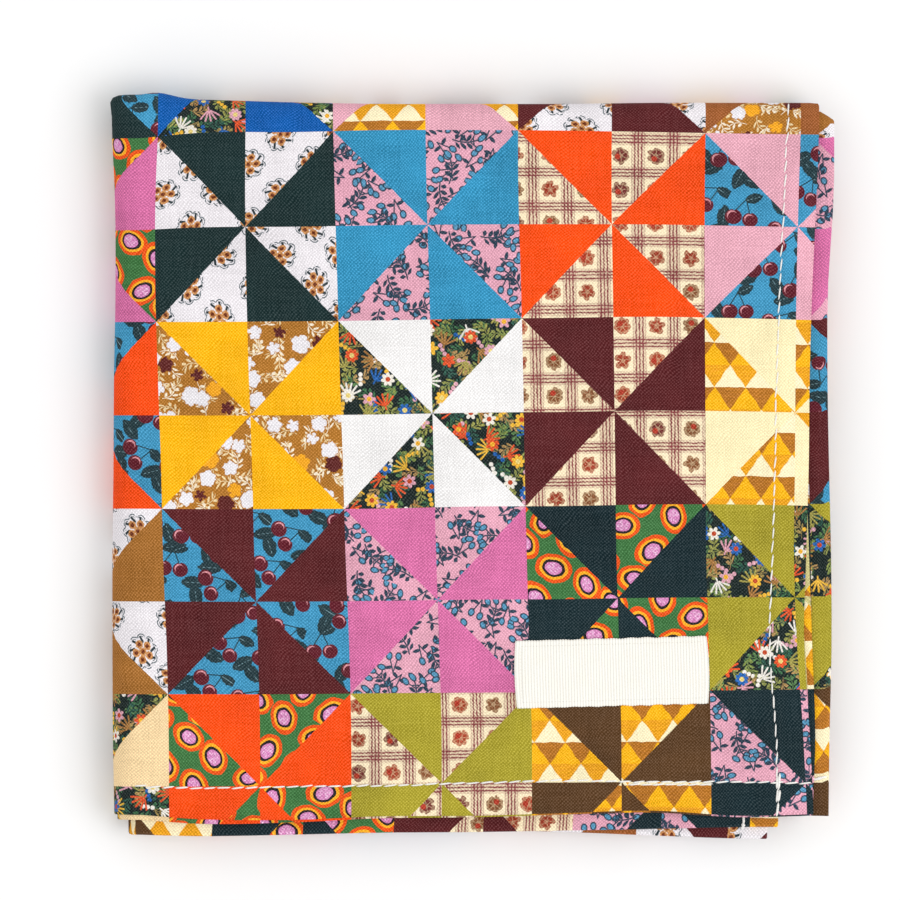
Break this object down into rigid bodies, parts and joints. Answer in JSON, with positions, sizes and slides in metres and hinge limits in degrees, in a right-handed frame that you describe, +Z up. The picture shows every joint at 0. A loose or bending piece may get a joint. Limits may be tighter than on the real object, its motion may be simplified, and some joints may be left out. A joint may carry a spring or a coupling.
{
  "type": "folded bandana",
  "caption": "Square cotton bandana in a patchwork print, hemmed all round and folded flat into a small square, with a sewn label.",
  "frame": {"origin": "middle of the box round the folded cloth, at the surface it lies on", "axes": "+X towards the hemmed right edge, +Y towards the folded far edge, +Z up out of the face with the label"},
  "size_m": [0.1412, 0.1454, 0.0118],
  "materials": {
    "cloth": "matte plain-woven cotton, printed on its right side",
    "label": "matte ribbed cotton tape",
    "thread": "matte sewing thread"
  },
  "bodies": {
    "root": {"cloth": "cloth", "label": "label"}
  },
  "joints": []
}
